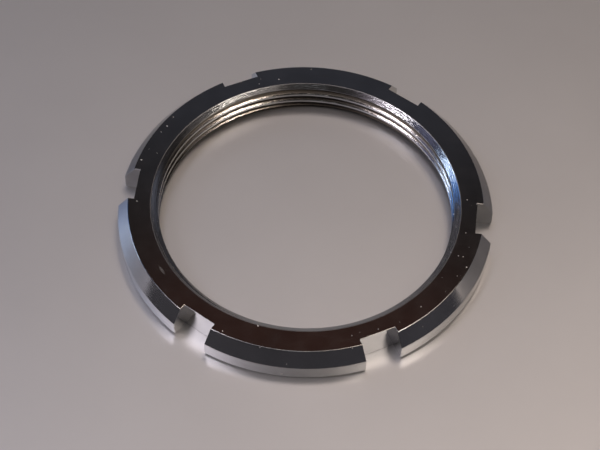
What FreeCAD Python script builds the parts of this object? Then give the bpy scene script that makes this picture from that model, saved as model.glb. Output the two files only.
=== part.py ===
import FreeCAD, Part
import math
import os

from FreeCAD import Vector

# Slotted round lock nut (bottom-bracket style lock ring), one turned and milled piece of steel.
# Frame: thread axis on Z, seating face on Z = 0, chamfered outer face up, first notch on +X.
# Every length is in millimetres.

# Turned blank
OUTER_R = 21.5          # rim radius, 43 mm over the rim
THICKNESS = 3.6         # seating face to outer face
FACE_R = 20.3           # radius where the outer face meets its large chamfer
RIM_TOP_Z = 1.97        # height where that chamfer meets the straight rim
EDGE_BREAK = 0.25       # small chamfer around the foot of the rim

# Internal thread, 1.370 in x 24 TPI, right hand, 60 degree cycle form
PITCH = 25.4 / 24
MAJOR_R = 1.370 * 25.4 / 2
THREAD_DEPTH = 0.5413 * PITCH
MINOR_R = MAJOR_R - THREAD_DEPTH
ROOT_FLAT = PITCH / 8
FLANK_SLOPE = math.tan(math.radians(30))
GROOVE_START_Z = 0.533 - 2 * PITCH   # groove centre over +X, two turns below the part
GROOVE_TURNS = 6
CUT_INSIDE = 0.15       # the cutter begins this far inside the minor diameter

# Lead-in chamfers at the two mouths of the thread
TOP_MOUTH_R = 17.7
TOP_LEAD_Z = 2.85       # height where the upper lead-in meets the minor diameter
FOOT_MOUTH_R = 17.5
FOOT_LEAD_Z = 0.6       # height where the lower lead-in meets the minor diameter

# Hook-spanner notches
NOTCH_COUNT = 6
NOTCH_WIDTH = 4.2
NOTCH_FLOOR = 19.5      # flat floor, this far from the thread axis


def ring_blank():
    """The turned blank: one closed section in the XZ plane, swept once around the thread axis."""
    section = [
        (FOOT_MOUTH_R, 0),
        (OUTER_R - EDGE_BREAK, 0),
        (OUTER_R, EDGE_BREAK),
        (OUTER_R, RIM_TOP_Z),
        (FACE_R, THICKNESS),
        (TOP_MOUTH_R, THICKNESS),
        (MINOR_R, TOP_LEAD_Z),
        (MINOR_R, FOOT_LEAD_Z),
    ]
    corners = [Vector(r, 0, z) for r, z in section]
    outline = Part.makePolygon(corners + corners[:1])
    return Part.Face(outline).revolve(Vector(0, 0, 0), Vector(0, 0, 1), 360)


def notch_cutter(index):
    """One straight milling cut from the rim down to the flat notch floor."""
    cutter = Part.makeBox(
        OUTER_R, NOTCH_WIDTH, THICKNESS + 2,
        Vector(NOTCH_FLOOR, -NOTCH_WIDTH / 2, -1),
    )
    cutter.rotate(Vector(0, 0, 0), Vector(0, 0, 1), index * 360 / NOTCH_COUNT)
    return cutter


def thread_cutter():
    """The thread groove as a solid: a flat-rooted V swept along a right-hand helix."""
    inner_r = MINOR_R - CUT_INSIDE
    root_half = ROOT_FLAT / 2
    mouth_half = root_half + (MAJOR_R - inner_r) * FLANK_SLOPE
    profile = [
        (inner_r, -mouth_half),
        (MAJOR_R, -root_half),
        (MAJOR_R, root_half),
        (inner_r, mouth_half),
    ]
    corners = [Vector(r, 0, z) for r, z in profile]
    groove = Part.makePolygon(corners + corners[:1])

    helix = Part.makeHelix(PITCH, GROOVE_TURNS * PITCH, MINOR_R)
    sweep = Part.BRepOffsetAPI.MakePipeShell(Part.Wire(helix.Edges))
    sweep.setFrenetMode(True)
    sweep.add(groove)
    sweep.build()
    sweep.makeSolid()
    cutter = sweep.shape()
    cutter.translate(Vector(0, 0, GROOVE_START_Z))
    return cutter


def lock_ring():
    """The finished part: blank, six notches, then the internal thread."""
    ring = ring_blank()
    ring = ring.cut([notch_cutter(i) for i in range(NOTCH_COUNT)])
    ring = ring.cut(thread_cutter())
    return ring.Solids[0]


def main():
    os.makedirs("parts", exist_ok=True)
    ring = lock_ring()
    if not ring.isValid() or ring.ShapeType != "Solid":
        raise RuntimeError("the lock ring is not one valid solid")
    box = ring.BoundBox
    print("lock_ring: volume %.2f mm3, size %.3f x %.3f x %.3f mm"
          % (ring.Volume, box.XLength, box.YLength, box.ZLength))
    ring.exportStep("parts/lock_ring.step")


main()
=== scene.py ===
import math
from collections import namedtuple

import bmesh
import bpy
import numpy as np
from mathutils import Matrix, Vector


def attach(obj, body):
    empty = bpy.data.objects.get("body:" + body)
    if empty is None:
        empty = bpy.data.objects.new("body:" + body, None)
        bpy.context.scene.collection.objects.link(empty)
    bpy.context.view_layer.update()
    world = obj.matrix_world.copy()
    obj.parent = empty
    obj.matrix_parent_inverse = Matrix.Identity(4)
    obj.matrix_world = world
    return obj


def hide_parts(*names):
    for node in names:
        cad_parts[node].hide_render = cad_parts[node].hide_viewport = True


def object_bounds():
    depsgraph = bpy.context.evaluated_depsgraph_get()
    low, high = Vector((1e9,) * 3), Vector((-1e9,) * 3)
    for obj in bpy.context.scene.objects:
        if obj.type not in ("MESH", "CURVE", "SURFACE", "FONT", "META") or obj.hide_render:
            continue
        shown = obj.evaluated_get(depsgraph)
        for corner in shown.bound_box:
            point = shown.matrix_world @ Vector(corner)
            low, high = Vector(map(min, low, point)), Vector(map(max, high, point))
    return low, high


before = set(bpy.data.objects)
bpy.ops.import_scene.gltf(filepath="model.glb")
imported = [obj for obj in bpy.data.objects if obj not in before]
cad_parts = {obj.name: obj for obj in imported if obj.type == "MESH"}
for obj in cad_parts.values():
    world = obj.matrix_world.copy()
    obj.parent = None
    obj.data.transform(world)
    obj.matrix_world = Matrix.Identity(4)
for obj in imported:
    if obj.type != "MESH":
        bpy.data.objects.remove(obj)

CAD_BOX = [list(corner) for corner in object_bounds()]
MM = 0.001

# ---------------------------------------------------------------------------------------------
# The ring's dimensions, in millimetres. The frame gives its outside size.
# ---------------------------------------------------------------------------------------------
OUTER_R = round(CAD_BOX[1][1] / MM, 3)
THICKNESS = round(CAD_BOX[1][2] / MM, 3)
FACE_R = 20.3           # where the outer face meets its large chamfer
RIM_TOP_Z = 1.97        # where that chamfer meets the straight rim
EDGE_BREAK = 0.25       # small chamfer around the foot of the rim

# Internal thread, 1.370 in x 24 TPI, right hand, 60 degree form
PITCH = 25.4 / 24
MAJOR_R = 1.370 * 25.4 / 2
MINOR_R = MAJOR_R - 0.5413 * PITCH
ROOT_HALF = PITCH / 16
FLANK_RATE = 1 / math.tan(math.radians(30))   # radius lost per unit of height along a flank
GROOVE_Z_AT_X = 0.533                         # height of a groove's centre over +X
LOWEST_TURN = -3        # this turn's groove stays below the part all the way round
HIGHEST_TURN = 4        # and this one's stays above it

# Lead-in chamfers at the two mouths of the thread
TOP_MOUTH_R = 17.7
TOP_LEAD_Z = 2.85
FOOT_MOUTH_R = 17.5
FOOT_LEAD_Z = 0.6

# Hook-spanner notches
NOTCH_COUNT = 6
NOTCH_HALF = 2.1
NOTCH_FLOOR = 19.5      # flat floor, this far from the thread axis

# Plating rounds every edge a little
EDGE_ROUND = 0.05
MOUTH_ROUND = 0.02
MOUTH_MIDDLE = MOUTH_ROUND * math.sin(math.radians(45)) * 0.5
MOUTH_MIDDLE_R = MOUTH_MIDDLE * 0.2     # middle of a rounded mouth, inwards of its corner
MOUTH_MIDDLE_Z = MOUTH_MIDDLE * 0.8     # and away from its flat face
CREST_ROUND = 0.035
ROUND_SHARE = 0.25      # a rounding takes at most this share of a narrow land or flank

# Mesh
LAND_STEPS = 92         # angular steps between two notches
NOTCH_STEPS = 24        # angular steps across one notch
WELD_DISTANCE = 2e-4
SHORTEST_EDGE = 1e-4
FLAT_HEIGHT = 1e-6      # a flank lower than this has run out
SHARP_ANGLE = math.radians(38)
LARGE_FACE_WEIGHT = 100     # large faces count as much as the modifier allows


# ---------------------------------------------------------------------------------------------
# Section of the threaded bore
# ---------------------------------------------------------------------------------------------
TOP_RATE = (TOP_MOUTH_R - MINOR_R) / (THICKNESS - TOP_LEAD_Z)
FOOT_RATE = (FOOT_MOUTH_R - MINOR_R) / FOOT_LEAD_Z
TOP_RUNOUT_Z = TOP_LEAD_Z + (MAJOR_R - MINOR_R) / TOP_RATE
FOOT_RUNOUT_Z = FOOT_LEAD_Z - (MAJOR_R - MINOR_R) / FOOT_RATE


def plain_bore_r(z):
    """Radius of the bore before threading: minor diameter with a lead-in cone at each mouth."""
    top = np.maximum(0, z - TOP_LEAD_Z) * TOP_RATE
    foot = np.maximum(0, FOOT_LEAD_Z - z) * FOOT_RATE
    return MINOR_R + top + foot


def flank_meets_bore(root_z, side):
    """Height where a flank that starts at the groove root at root_z meets the plain bore.

    side is -1 for the lower flank and +1 for the upper one.
    """
    depth = MAJOR_R - MINOR_R
    z = root_z + side * depth / FLANK_RATE
    in_top = (depth + side * FLANK_RATE * root_z + TOP_RATE * TOP_LEAD_Z) / (
        side * FLANK_RATE + TOP_RATE)
    in_foot = (depth + side * FLANK_RATE * root_z - FOOT_RATE * FOOT_LEAD_Z) / (
        side * FLANK_RATE - FOOT_RATE)
    z = np.where(z > TOP_LEAD_Z, in_top, z)
    return np.where(z < FOOT_LEAD_Z, in_foot, z)


def groove_points(centre_z):
    """Heights of one groove's points at each angle: mouth, two root corners, mouth.

    Where the groove has run out through a lead-in cone, all its points fall at the run-out height.
    """
    low_root = np.clip(centre_z - ROOT_HALF, FOOT_RUNOUT_Z, TOP_RUNOUT_Z)
    high_root = np.clip(centre_z + ROOT_HALF, FOOT_RUNOUT_Z, TOP_RUNOUT_Z)
    low_cut = centre_z - ROOT_HALF > FOOT_RUNOUT_Z
    high_cut = centre_z + ROOT_HALF < TOP_RUNOUT_Z
    gone = (centre_z - ROOT_HALF > TOP_RUNOUT_Z) | (centre_z + ROOT_HALF < FOOT_RUNOUT_Z)
    low_mouth = np.where(low_cut & ~gone, flank_meets_bore(low_root, -1), low_root)
    high_mouth = np.where(high_cut & ~gone, flank_meets_bore(high_root, 1), high_root)
    return low_mouth, low_root, high_root, high_mouth


def bore_columns(angles):
    """The bore's section at each angle, from the foot mouth up to the top mouth.

    Returns an array of (angle, point, (radius, height)). Every column has the same points in the
    same order, so neighbouring columns join into quads.
    """
    rise = angles / (2 * math.pi) * PITCH
    column = []

    def add(r, z):
        column.append(np.stack([np.broadcast_to(r, angles.shape),
                                np.broadcast_to(z, angles.shape)], -1))

    def add_on_bore(z):
        add(plain_bore_r(z), z)

    def add_root(z, flank):
        add(np.maximum(plain_bore_r(z), np.where(flank > 0, MAJOR_R, 0)), z)

    add(FOOT_MOUTH_R + MOUTH_ROUND, 0)
    add(FOOT_MOUTH_R - MOUTH_MIDDLE_R, MOUTH_MIDDLE_Z)
    lower = np.full_like(angles, MOUTH_ROUND)
    add_on_bore(lower)
    for turn in range(LOWEST_TURN, HIGHEST_TURN + 1):
        low_mouth, low_root, high_root, high_mouth = groove_points(
            GROOVE_Z_AT_X + rise + turn * PITCH)
        low_flank, high_flank = low_root - low_mouth, high_mouth - high_root
        land_round = np.minimum(CREST_ROUND, ROUND_SHARE * (low_mouth - lower))
        crest_z = low_mouth - np.minimum(land_round, 2 * low_flank)
        add_on_bore(np.clip(FOOT_LEAD_Z, lower, crest_z))
        add_on_bore(np.clip(TOP_LEAD_Z, lower, crest_z))
        add_on_bore(crest_z)
        into = np.minimum(CREST_ROUND / 2, ROUND_SHARE * low_flank)
        add(plain_bore_r(low_mouth) + into * flank_slope(low_mouth, low_root), low_mouth + into)
        add_root(low_root, low_flank)
        add_root(high_root, high_flank)
        into = np.minimum(CREST_ROUND / 2, ROUND_SHARE * high_flank)
        add(plain_bore_r(high_mouth) + into * flank_slope(high_mouth, high_root),
            high_mouth - into)
        lower = high_mouth + np.minimum(CREST_ROUND, ROUND_SHARE * high_flank)
        add_on_bore(lower)
    top_edge = THICKNESS - MOUTH_ROUND
    add_on_bore(np.clip(FOOT_LEAD_Z, lower, top_edge))
    add_on_bore(np.clip(TOP_LEAD_Z, lower, top_edge))
    add_on_bore(np.full_like(angles, top_edge))
    add(TOP_MOUTH_R - MOUTH_MIDDLE_R, THICKNESS - MOUTH_MIDDLE_Z)
    add(TOP_MOUTH_R + MOUTH_ROUND, THICKNESS)
    return np.stack(column, 1)


def flank_slope(mouth_z, root_z):
    """Radius gained per unit of height from a groove's mouth towards its root."""
    height = np.abs(root_z - mouth_z)
    rate = (MAJOR_R - plain_bore_r(mouth_z)) / np.maximum(height, FLAT_HEIGHT)
    return np.where(height > FLAT_HEIGHT, rate, 0)


# ---------------------------------------------------------------------------------------------
# The ring's mesh
# ---------------------------------------------------------------------------------------------
CORNER_R = math.hypot(NOTCH_FLOOR, NOTCH_HALF)   # where a notch's wall meets its floor

# Corner circles of the outside, from the top mouth round the rim to the foot mouth: radius, height
CIRCLES = {
    "top_mouth": (TOP_MOUTH_R + MOUTH_ROUND, THICKNESS),
    "top_corner": (CORNER_R, THICKNESS),
    "face": (FACE_R, THICKNESS),
    "rim_top": (OUTER_R, RIM_TOP_Z),
    "rim_foot": (OUTER_R, EDGE_BREAK),
    "foot": (OUTER_R - EDGE_BREAK, 0),
    "foot_corner": (CORNER_R, 0),
    "foot_mouth": (FOOT_MOUTH_R + MOUTH_ROUND, 0),
}
WALL_CIRCLES = list(CIRCLES)[1:-1]
NOTCH_CIRCLES = ("top_mouth", "top_corner", "foot_corner", "foot_mouth")
FLOOR_CIRCLES = ("top_corner", "foot_corner")
TURNED_EDGES = ("face", "rim_top", "rim_foot", "foot")

Line = namedtuple("Line", "notch zone place")


def ring_lines():
    """The mesh's angular lines, once round: notch index, zone, and place in the zone.

    In the zone "notch" the place runs from one wall at -1 to the other at 1. In the zone "land"
    it runs from 0 to 1.
    """
    lines = []
    for notch in range(NOTCH_COUNT):
        for place in np.linspace(-1, 1, NOTCH_STEPS + 1):
            lines.append(Line(notch, "notch", float(place)))
        for place in np.linspace(0, 1, LAND_STEPS + 1)[1:-1]:
            lines.append(Line(notch, "land", float(place)))
    return lines


def is_wall(line):
    return line.zone == "notch" and abs(line.place) == 1


def starts_land(line):
    """Whether the strip of faces that begins at this line is land."""
    return line.zone == "land" or line.place == 1


def wall_angle(r):
    """Angle from a notch's centre line to its side wall, at radius r; one angle for all the bore."""
    return math.asin(NOTCH_HALF / max(r, TOP_MOUTH_R + MOUTH_ROUND))


def line_angle(line, r):
    centre = 2 * math.pi * line.notch / NOTCH_COUNT
    half = wall_angle(r)
    if line.zone == "notch":
        return centre + line.place * half
    return centre + half + line.place * (2 * math.pi / NOTCH_COUNT - 2 * half)


def line_point(line, r):
    """Where a line crosses a circle of radius r, as x and y."""
    angle = line_angle(line, r)
    return r * math.cos(angle), r * math.sin(angle)


def floor_point(line):
    """Where a notch line meets the notch's flat floor, as x and y."""
    centre = 2 * math.pi * line.notch / NOTCH_COUNT
    across = line.place * NOTCH_HALF
    return (NOTCH_FLOOR * math.cos(centre) - across * math.sin(centre),
            NOTCH_FLOOR * math.sin(centre) + across * math.cos(centre))


def outline_points(bm, lines):
    """The outside's vertices on each line, by circle."""
    points = []
    for line in lines:
        in_notch = line.zone == "notch" and not is_wall(line)
        here = {}
        for name, (r, z) in CIRCLES.items():
            if in_notch and name not in NOTCH_CIRCLES:
                continue
            on_floor = line.zone == "notch" and name in FLOOR_CIRCLES
            x, y = floor_point(line) if on_floor else line_point(line, r)
            here[name] = bm.verts.new((x, y, z))
        points.append(here)
    return points


def add_outside(bm, lines, points):
    """The faces between neighbouring lines. Returns the edges along them that are rounded."""
    corners = []
    for line, a, b in zip(lines, points, points[1:] + points[:1]):
        land = starts_land(line)
        names = list(CIRCLES) if land else NOTCH_CIRCLES
        for upper, lower in zip(names, names[1:]):
            bm.faces.new((a[upper], b[upper], b[lower], a[lower]))
        for name in TURNED_EDGES if land else FLOOR_CIRCLES:
            corners.append(bm.edges.get((a[name], b[name])))
    return corners


def add_walls(bm, lines, points):
    """The flat side walls of the notches. Returns their edges that are rounded."""
    corners = []
    for line, here in zip(lines, points):
        if not is_wall(line):
            continue
        loop = [here[name] for name in WALL_CIRCLES]
        bm.faces.new(loop if starts_land(line) else loop[::-1])
        for a, b in zip(loop, loop[1:]):
            corners.append(bm.edges.get((a, b)))
    return corners


def round_corners(bm, corners):
    """Rounds the edges given, and marks the middle of each rounding for the rubbed plating."""
    mark = bm.verts.layers.float["edge"]
    rounded = bmesh.ops.bevel(bm, geom=corners, offset=EDGE_ROUND, offset_type="OFFSET",
                              segments=2, profile=0.5, affect="EDGES", clamp_overlap=True)
    round_faces = set(rounded["faces"])
    for vert in rounded["verts"]:
        if all(face in round_faces for face in vert.link_faces):
            vert[mark] = 1.0


def add_bore(bm, lines):
    """The threaded bore. Its last column lies on its first, one groove further on."""
    angles = np.array([line_angle(line, TOP_MOUTH_R) for line in lines])
    angles = np.append(angles, angles[0] + 2 * math.pi)
    grid = []
    for angle, column in zip(angles, bore_columns(angles)):
        cos, sin = math.cos(angle), math.sin(angle)
        grid.append([bm.verts.new((r * cos, r * sin, z)) for r, z in column])
    for left, right in zip(grid, grid[1:]):
        for j in range(len(left) - 1):
            bm.faces.new((left[j], right[j], right[j + 1], left[j + 1]))


def build_ring():
    """One closed mesh of the whole ring, in millimetres."""
    bm = bmesh.new()
    bm.verts.layers.float.new("edge")
    lines = ring_lines()
    points = outline_points(bm, lines)
    corners = add_outside(bm, lines, points) + add_walls(bm, lines, points)
    bmesh.ops.recalc_face_normals(bm, faces=bm.faces)
    round_corners(bm, corners)
    add_bore(bm, lines)
    bmesh.ops.remove_doubles(bm, verts=bm.verts, dist=WELD_DISTANCE)
    bmesh.ops.dissolve_degenerate(bm, edges=bm.edges, dist=SHORTEST_EDGE)
    bmesh.ops.recalc_face_normals(bm, faces=bm.faces)
    return bm


def flat_face_normals(mesh):
    """Corner normals that keep the large faces flat and turn only across the rounded edges.

    The mesh is in millimetres here, because the modifier compares face areas with a fixed step.
    """
    holder = bpy.data.objects.new("normals", mesh)
    bpy.context.scene.collection.objects.link(holder)
    weighted = holder.modifiers.new("weighted", "WEIGHTED_NORMAL")
    weighted.keep_sharp = True
    weighted.weight = LARGE_FACE_WEIGHT
    evaluated = holder.evaluated_get(bpy.context.evaluated_depsgraph_get())
    normals = [corner.vector.copy() for corner in evaluated.to_mesh().corner_normals]
    evaluated.to_mesh_clear()
    bpy.data.objects.remove(holder)
    return normals


def add_ring():
    bm = build_ring()
    mesh = bpy.data.meshes.new("ring")
    bm.to_mesh(mesh)
    bm.free()
    mesh.shade_smooth()
    mesh.set_sharp_from_angle(angle=SHARP_ANGLE)
    normals = flat_face_normals(mesh)
    mesh.transform(Matrix.Scale(MM, 4))
    mesh.normals_split_custom_set(normals)
    ring = bpy.data.objects.new("ring", mesh)
    bpy.context.scene.collection.objects.link(ring)
    return ring


# ---------------------------------------------------------------------------------------------
# Materials
# ---------------------------------------------------------------------------------------------
class Maker:
    """Makes the nodes of one material. A value is a number or another node's output."""

    def __init__(self, name):
        self.material = bpy.data.materials.new(name)
        self.material.use_nodes = True
        self.tree = self.material.node_tree
        self.tree.nodes.clear()
        self.shader = self.new("ShaderNodeBsdfPrincipled")
        output = self.new("ShaderNodeOutputMaterial")
        self.link(self.shader.outputs["BSDF"], output.inputs["Surface"])
        self.coords = self.new("ShaderNodeTexCoord").outputs["Object"]

    def new(self, kind):
        return self.tree.nodes.new(kind)

    def link(self, source, socket):
        self.tree.links.new(source, socket)

    def calc(self, operation, *values):
        node = self.new("ShaderNodeMath")
        node.operation = operation
        for socket, value in zip(node.inputs, values):
            if isinstance(value, (int, float)):
                socket.default_value = value
            else:
                self.link(value, socket)
        return node.outputs[0]

    def product(self, first, *others):
        for value in others:
            first = self.calc("MULTIPLY", first, value)
        return first

    def most(self, first, *others):
        for value in others:
            first = self.calc("MAXIMUM", first, value)
        return first

    def step(self, value, start, end):
        """0 at start and 1 at end, whichever is larger, with a smooth change between them."""
        node = self.new("ShaderNodeMapRange")
        node.interpolation_type = "SMOOTHSTEP"
        node.inputs["From Min"].default_value = start
        node.inputs["From Max"].default_value = end
        self.link(value, node.inputs["Value"])
        return node.outputs["Result"]

    def noise(self, vector, scale, detail=4.0, roughness=0.5, fourth=None, output="Fac"):
        node = self.new("ShaderNodeTexNoise")
        node.inputs["Scale"].default_value = scale
        node.inputs["Detail"].default_value = detail
        node.inputs["Roughness"].default_value = roughness
        self.link(vector, node.inputs["Vector"])
        if fourth is not None:
            node.noise_dimensions = "4D"
            self.link(fourth, node.inputs["W"])
        return node.outputs[output]

    def ramp(self, value, stops):
        node = self.new("ShaderNodeValToRGB")
        for element, (position, colour) in zip(node.color_ramp.elements, stops):
            element.position = position
            element.color = (*colour, 1)
        self.link(value, node.inputs["Fac"])
        return node.outputs["Color"]

    def mix(self, factor, first, second):
        """A colour between first, an output, and second, a plain colour."""
        node = self.new("ShaderNodeMix")
        node.data_type = "RGBA"
        self.link(factor, node.inputs["Factor"])
        start, end = [socket for socket in node.inputs if socket.type == "RGBA"]
        self.link(first, start)
        end.default_value = (*second, 1)
        return [socket for socket in node.outputs if socket.type == "RGBA"][0]


# Colours of the plated ring, and of the shade painted on it
PLATE = [(0.35, (0.52, 0.515, 0.52)), (0.65, (0.60, 0.595, 0.60))]
STAINED_PLATE = (0.60, 0.53, 0.47)
# Painted shade, near black, in the thread roots and on the lower lead-in
PAINTED_SHADE_COLOUR = (0.035, 0.026, 0.018)
# Painted shade: a dark band along the top mouth's edge
LIP_SHADE_COLOUR = (0.16, 0.15, 0.15)
OIL_SMEAR = (0.40, 0.33, 0.22)
WORN_PLATE = (0.74, 0.70, 0.66)

# Roughness of the plated ring, and of its marks at full strength
CLEAN_ROUGHNESS = 0.03
HAZE_ROUGHNESS = 0.10       # added to the clean plate
SCRATCH_ROUGHNESS = 0.05    # added too
BORE_ROUGHNESS = 0.03       # added too
LIP_ROUGHNESS = 0.40
SMEAR_ROUGHNESS = 0.70
# roughness under the painted shade of the thread roots and the lower lead-in
PAINTED_SHADE_ROUGHNESS = 0.45
RUBBED_ROUGHNESS = 0.28
SPECK_ROUGHNESS = 0.55

# Masks on the ring, in millimetres: where each is 0, then where it is 1
BORE_R = (TOP_MOUTH_R + 0.02, TOP_MOUTH_R - 0.08)
LIP_INNER_R = (TOP_MOUTH_R - 0.08, TOP_MOUTH_R - 0.03)
LIP_OUTER_R = (TOP_MOUTH_R + 0.08, TOP_MOUTH_R + 0.03)
LIP_Z = (THICKNESS - 0.20, THICKNESS - 0.10)
# Where the painted shade darkens the thread roots
GROOVE_R = (16.95, 17.10)
GROOVE_Z = (TOP_LEAD_Z + 0.17, TOP_LEAD_Z + 0.03)
STAIN_R = (16.80, 17.00)
STAIN_Z = (TOP_LEAD_Z + 0.10, TOP_LEAD_Z - 0.05)
# and where it darkens the lower lead-in
FOOT_SHADE_Z = (FOOT_LEAD_Z + 0.02, FOOT_LEAD_Z - 0.10)
RAGGED_R = 0.24         # how far the edges of the painted shade and of the stain wander in radius
RAGGED_Z = 0.4          # and in height

# Noise scales, per metre of the object
RUBBED_SCALE = 1100.0
EDGE_WOBBLE_SCALE = 2200.0
CLOUD_SCALE = 300.0
HAZE_SCALE = 700.0
BURR_SCALE = 4500.0
CROWD_SCALE = 150.0
RAGGED_SCALE = 9000.0

# Noise scales, per unit of the turning vector
TURNING_SCALE = 9.0
SMEAR_SCALE = 1.3

# Noise values between which each mark sets in
SCRATCH_STEP = (0.72, 0.80)
SMEAR_STEP = (0.66, 0.76)
RUBBED_STEP = (0.46, 0.58)
CROWD_STEP = (0.45, 0.60)

SMEAR_STRENGTH = 0.30
# Strength of the painted shade along the top mouth's edge
LIP_STRENGTH = 0.8
# Strength of the painted shade in the thread roots and on the lower lead-in
PAINTED_SHADE_STRENGTH = 0.9

# Relief, as shares of the bump height
BUMP_HEIGHT = 0.000012      # metres
BURR_IN_BORE, BURR_ALL_OVER = 0.5, 0.03
LINES_IN_BORE, LINES_ALL_OVER = 1.9, 0.06
SCRATCH_RELIEF = -0.03
SPECK_RELIEF = -0.6

# Scratches: turn about Z, and an offset that gives each direction its own noise
SCRATCH_DIRECTIONS = ((0.5, 1.0), (1.65, 5.0), (2.8, 9.0))
SCRATCH_SCALE = (260, 9000, 2600)

# Pits and dust: scale, least and largest size, share of points left bare where sparse and dense
SPECK_PATTERNS = (
    (1900.0, 0.05, 0.16, 0.975, 0.70),
    (700.0, 0.03, 0.10, 0.97, 0.82),
)
SPECK_WARP = 0.00009        # metres
FAINTEST_SPECK = 0.25

TURNING_CIRCLE = 3.0        # once round the ring is a circle of this radius in the turning vector
SMEAR_OFFSET = 7.0          # sets the smears' noise apart from the turning lines'


def turning_vector(maker, x, y, radius):
    """A place for noise that changes fast across the turned surfaces and slowly along them."""
    turned = maker.new("ShaderNodeCombineXYZ")
    maker.link(radius, turned.inputs[0])
    for socket, side in zip(turned.inputs[1:], (x, y)):
        around = maker.calc("DIVIDE", side, radius)
        maker.link(maker.calc("MULTIPLY", around, TURNING_CIRCLE), socket)
    return turned.outputs[0]


def hairline_scratches(maker):
    lines = []
    for turn, seed in SCRATCH_DIRECTIONS:
        mapping = maker.new("ShaderNodeMapping")
        mapping.inputs["Rotation"].default_value = (0, 0, turn)
        mapping.inputs["Location"].default_value = (seed, seed, seed)
        mapping.inputs["Scale"].default_value = SCRATCH_SCALE
        maker.link(maker.coords, mapping.inputs["Vector"])
        lines.append(maker.step(maker.noise(mapping.outputs[0], 1.0, 1.0), *SCRATCH_STEP))
    return maker.most(*lines)


def ragged_coords(maker):
    """The object's coordinates, shaken so that the specks get ragged outlines."""
    warp = maker.new("ShaderNodeVectorMath")
    warp.operation = "MULTIPLY_ADD"
    maker.link(maker.noise(maker.coords, RAGGED_SCALE, 2.0, output="Color"), warp.inputs[0])
    warp.inputs[1].default_value = (SPECK_WARP, SPECK_WARP, SPECK_WARP)
    maker.link(maker.coords, warp.inputs[2])
    return warp.outputs[0]


def pits_and_dust(maker):
    """Small ragged spots at some of the points of two Voronoi patterns."""
    calc = maker.calc
    crowded = maker.step(maker.noise(maker.coords, CROWD_SCALE, 2.0), *CROWD_STEP)
    place = ragged_coords(maker)
    specks = []
    for scale, least, largest, sparse, dense in SPECK_PATTERNS:
        spots = maker.new("ShaderNodeTexVoronoi")
        spots.inputs["Scale"].default_value = scale
        maker.link(place, spots.inputs["Vector"])
        chance = maker.new("ShaderNodeSeparateColor")
        maker.link(spots.outputs["Color"], chance.inputs[0])
        size = calc("MULTIPLY_ADD", chance.outputs[1], largest - least, least)
        near = calc("LESS_THAN", spots.outputs["Distance"], size)
        limit = calc("MULTIPLY_ADD", crowded, dense - sparse, sparse)
        chosen = calc("GREATER_THAN", chance.outputs[0], limit)
        strength = calc("MULTIPLY_ADD", chance.outputs[2], 1 - FAINTEST_SPECK, FAINTEST_SPECK)
        specks.append(maker.product(near, chosen, strength))
    return maker.most(*specks)


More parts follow.
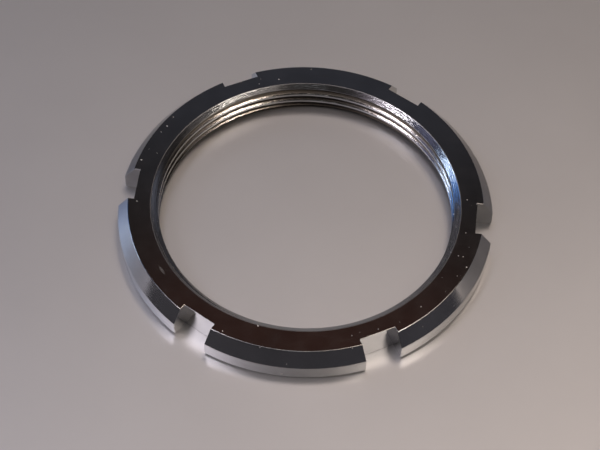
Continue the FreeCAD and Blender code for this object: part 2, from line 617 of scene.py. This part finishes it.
def chrome_material():
    maker = Maker("chrome plate")
    calc, step, noise, mix = maker.calc, maker.step, maker.noise, maker.mix
    coords, shader = maker.coords, maker.shader
    shader.inputs["Metallic"].default_value = 1.0

    # Place on the ring, in millimetres
    parts = maker.new("ShaderNodeSeparateXYZ")
    maker.link(coords, parts.inputs[0])
    x, y, z = (calc("MULTIPLY", parts.outputs[i], 1 / MM) for i in range(3))
    radius = calc("SQRT", calc("ADD", calc("MULTIPLY", x, x), calc("MULTIPLY", y, y)))
    in_bore = step(radius, *BORE_R)

    # Marks
    turned = turning_vector(maker, x, y, radius)
    lines = noise(turned, TURNING_SCALE, 3.0, fourth=z)
    scratches = hairline_scratches(maker)
    specks = pits_and_dust(maker)
    smear_noise = noise(turned, SMEAR_SCALE, 2.0, fourth=calc("ADD", z, SMEAR_OFFSET))
    smear = calc("MULTIPLY", step(smear_noise, *SMEAR_STEP), SMEAR_STRENGTH)
    edge = maker.new("ShaderNodeAttribute")
    edge.attribute_name = "edge"
    worn = step(noise(coords, RUBBED_SCALE, 5.0), *RUBBED_STEP)
    rubbed = calc("MULTIPLY", edge.outputs["Fac"], worn)
    # The top mouth's edge, where a dark band of shade is painted
    lip = maker.product(step(radius, *LIP_INNER_R), step(radius, *LIP_OUTER_R), step(z, *LIP_Z))

    # Painted shade: the thread roots and the lower lead-in are darkened almost to black where shade
    # falls. A warm stain lies on the deep flanks. Both have a ragged edge
    edge_wobble = noise(coords, EDGE_WOBBLE_SCALE, 5.0, 0.6)
    depth = calc("ADD", radius, calc("MULTIPLY_ADD", edge_wobble, RAGGED_R, -RAGGED_R / 2))
    level = calc("ADD", z, calc("MULTIPLY_ADD", edge_wobble, RAGGED_Z, -RAGGED_Z / 2))
    in_groove = calc("MULTIPLY", step(depth, *GROOVE_R), step(z, *GROOVE_Z))
    at_foot = step(level, *FOOT_SHADE_Z)
    # Mask of the painted shade: thread roots and lower lead-in, inside the bore only
    painted_shade = calc("MULTIPLY", calc("MAXIMUM", in_groove, at_foot), in_bore)
    stain = maker.product(step(depth, *STAIN_R), step(z, *STAIN_Z), in_bore)

    # Colour
    colour = maker.ramp(noise(coords, CLOUD_SCALE), PLATE)
    colour = mix(stain, colour, STAINED_PLATE)
    # Painted shade: thread roots and lower lead-in darkened almost to black
    colour = mix(calc("MULTIPLY", painted_shade, PAINTED_SHADE_STRENGTH), colour, PAINTED_SHADE_COLOUR)
    # Painted shade: a dark band along the top mouth's edge
    colour = mix(calc("MULTIPLY", lip, LIP_STRENGTH), colour, LIP_SHADE_COLOUR)
    colour = mix(smear, colour, OIL_SMEAR)
    colour = mix(calc("MAXIMUM", specks, rubbed), colour, WORN_PLATE)
    maker.link(colour, shader.inputs["Base Color"])

    # Roughness
    haze = noise(coords, HAZE_SCALE, 5.0)
    roughness = calc("MULTIPLY_ADD", haze, HAZE_ROUGHNESS, CLEAN_ROUGHNESS)
    roughness = calc("ADD", roughness, calc("MULTIPLY", scratches, SCRATCH_ROUGHNESS))
    roughness = calc("ADD", roughness, calc("MULTIPLY", in_bore, BORE_ROUGHNESS))
    marks = ((lip, LIP_ROUGHNESS), (smear, SMEAR_ROUGHNESS), (painted_shade, PAINTED_SHADE_ROUGHNESS),
             (rubbed, RUBBED_ROUGHNESS), (specks, SPECK_ROUGHNESS))
    for mark, amount in marks:
        roughness = calc("MAXIMUM", roughness, calc("MULTIPLY", mark, amount))
    maker.link(roughness, shader.inputs["Roughness"])

    # Fine relief: burrs and turning lines are strong in the thread and faint elsewhere
    burrs = noise(coords, BURR_SCALE, 3.0, 0.6)
    burrs = calc("MULTIPLY", burrs, calc("MULTIPLY_ADD", in_bore, BURR_IN_BORE, BURR_ALL_OVER))
    line_height = calc("MULTIPLY_ADD", in_bore, LINES_IN_BORE, LINES_ALL_OVER)
    height = calc("MULTIPLY_ADD", lines, line_height, burrs)
    height = calc("ADD", height, calc("MULTIPLY", scratches, SCRATCH_RELIEF))
    height = calc("ADD", height, calc("MULTIPLY", specks, SPECK_RELIEF))
    bump = maker.new("ShaderNodeBump")
    bump.inputs["Strength"].default_value = 1.0
    bump.inputs["Distance"].default_value = BUMP_HEIGHT
    maker.link(height, bump.inputs["Height"])
    maker.link(bump.outputs["Normal"], shader.inputs["Normal"])
    return maker.material


FLOOR_TONES = [(0.3, (0.66, 0.64, 0.64)), (0.7, (0.70, 0.68, 0.68))]
FLOOR_NOISE_SCALE = 40
FLOOR_ROUGHNESS = 0.46


def floor_material():
    maker = Maker("pale floor")
    tone = maker.ramp(maker.noise(maker.coords, FLOOR_NOISE_SCALE), FLOOR_TONES)
    maker.link(tone, maker.shader.inputs["Base Color"])
    maker.shader.inputs["Metallic"].default_value = 1.0
    maker.shader.inputs["Roughness"].default_value = FLOOR_ROUGHNESS
    return maker.material


# ---------------------------------------------------------------------------------------------
# Stage: camera, floor and lights. Azimuths turn with the camera.
# ---------------------------------------------------------------------------------------------
VIEW_TURN = math.radians(5.59)      # the viewing direction, from the row's +Y axis
VIEW_ELEVATION = math.radians(53.59)
VIEW_ROLL = math.radians(1.33)
VIEW_DISTANCE = 208.7               # millimetres, as is the target
VIEW_TARGET = (-0.61, -0.63, -0.19)
LENS_MM = 108.34
SENSOR_MM = 36
NEAR_CLIP, FAR_CLIP = 0.01, 10      # metres

FLOOR_HALF = 0.6                    # metres
FLOOR_STEPS = 24


def direction(azimuth, elevation):
    """Unit vector; azimuth 270 degrees points from the object to the camera's side."""
    a, e = math.radians(azimuth) + VIEW_TURN, math.radians(elevation)
    return Vector((math.cos(e) * math.cos(a), math.cos(e) * math.sin(a), math.sin(e)))


def add_camera():
    data = bpy.data.cameras.new("camera")
    data.sensor_width = SENSOR_MM
    data.lens = LENS_MM
    data.clip_start, data.clip_end = NEAR_CLIP, FAR_CLIP
    camera = bpy.data.objects.new("camera", data)
    bpy.context.scene.collection.objects.link(camera)
    turn = Matrix.Rotation(VIEW_TURN, 4, "Z")
    back = turn @ Vector((0, -math.cos(VIEW_ELEVATION), math.sin(VIEW_ELEVATION)))
    up = turn @ Vector((0, math.sin(VIEW_ELEVATION), math.cos(VIEW_ELEVATION)))
    side = turn @ Vector((1, 0, 0))
    right = side * math.cos(VIEW_ROLL) + up * math.sin(VIEW_ROLL)
    top = up * math.cos(VIEW_ROLL) - side * math.sin(VIEW_ROLL)
    target = turn @ Vector(VIEW_TARGET)
    place = (target + back * VIEW_DISTANCE) * MM
    camera.matrix_world = Matrix((
        (right.x, top.x, back.x, place.x),
        (right.y, top.y, back.y, place.y),
        (right.z, top.z, back.z, place.z),
        (0, 0, 0, 1)))
    bpy.context.scene.camera = camera


def add_floor():
    bm = bmesh.new()
    bmesh.ops.create_grid(bm, x_segments=FLOOR_STEPS, y_segments=FLOOR_STEPS, size=FLOOR_HALF)
    mesh = bpy.data.meshes.new("floor")
    bm.to_mesh(mesh)
    bm.free()
    floor = bpy.data.objects.new("floor", mesh)
    bpy.context.scene.collection.objects.link(floor)
    floor.data.materials.append(floor_material())


# Soft lights all round the object: azimuth, elevation, angle of full strength, angle where it has
# faded out, radiance, colour
GLOWS = [
    ("horizon haze", 0, -90, 96, 122, 0.040, (0.95, 0.95, 1.15)),
    ("window", 157, 32, 2, 9, 5.0, (0.80, 0.92, 1.02)),
    ("blue window edge", 152, 29, 5, 17, 0.85, (0.12, 0.42, 1.2)),
    ("blue wall", 177, 43, 5, 16, 0.22, (0.70, 0.75, 1.3)),
    ("left lamp", 196, 54, 4, 11, 10.0, (1.0, 0.96, 1.03)),
    ("left panel", 214, 46, 4, 14, 0.40, (1.0, 0.86, 1.0)),
    ("right lamp", 333, 57, 4, 11, 8.0, (1.05, 0.96, 0.86)),
    ("right panel", 306, 48, 4, 13, 0.35, (1.0, 0.90, 0.84)),
    ("right wall", 352, 48, 5, 18, 0.14, (1.0, 0.90, 0.88)),
    ("overhead warm", 57, 68, 4, 12, 4.2, (1.05, 0.90, 0.78)),
    ("overhead cool", 122, 68, 4, 12, 1.8, (0.95, 0.92, 1.02)),
    ("overhead panel", 0, 90, 4, 12, 1.0, (1.0, 0.97, 0.95)),
    ("front fill", 235, 62, 15, 40, 0.012, (0.90, 0.95, 1.0)),
    ("front panel", 268, 33, 4, 12, 0.40, (0.95, 0.97, 1.0)),
    ("back panel", 92, 24, 6, 18, 0.25, (0.95, 0.97, 1.0)),
    ("pale post", 359, 2, 1, 4, 1.50, (1.0, 0.85, 0.75)),
    ("far red glow", 90, 64, 5, 13, 0.022, (1.0, 0.15, 0.0)),
    ("far low glow", 90, 42, 5, 14, 0.030, (0.70, 0.85, 1.2)),
    ("side glow", 39, 21, 5, 18, 0.070, (0.8, 0.9, 1.2)),
]
AMBIENT = (0.020, 0.017, 0.016)


def add_world():
    world = bpy.data.worlds.new("studio")
    world.use_nodes = True
    nodes, links = world.node_tree.nodes, world.node_tree.links
    toward = nodes.new("ShaderNodeTexCoord").outputs["Generated"]
    total = None
    for name, azimuth, elevation, full, faded, radiance, colour in GLOWS:
        angle = nodes.new("ShaderNodeVectorMath")
        angle.operation = "DOT_PRODUCT"
        angle.label = name
        links.new(toward, angle.inputs[0])
        angle.inputs[1].default_value = direction(azimuth, elevation)
        fade = nodes.new("ShaderNodeMapRange")
        fade.interpolation_type = "SMOOTHERSTEP"
        fade.inputs["From Min"].default_value = math.cos(math.radians(faded))
        fade.inputs["From Max"].default_value = math.cos(math.radians(full))
        links.new(angle.outputs["Value"], fade.inputs["Value"])
        glow = nodes.new("ShaderNodeVectorMath")
        glow.operation = "MULTIPLY_ADD"
        glow.inputs[0].default_value = [radiance * c for c in colour]
        links.new(fade.outputs["Result"], glow.inputs[1])
        if total is None:
            glow.inputs[2].default_value = AMBIENT
        else:
            links.new(total, glow.inputs[2])
        total = glow.outputs["Vector"]
    links.new(total, nodes["Background"].inputs["Color"])
    nodes["Background"].inputs["Strength"].default_value = 1.0
    bpy.context.scene.world = world


ring = add_ring()
ring.data.materials.append(chrome_material())
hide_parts("lock_ring")
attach(ring, "root")

add_floor()
add_world()
add_camera()
bpy.context.scene.view_settings.view_transform = "Standard"
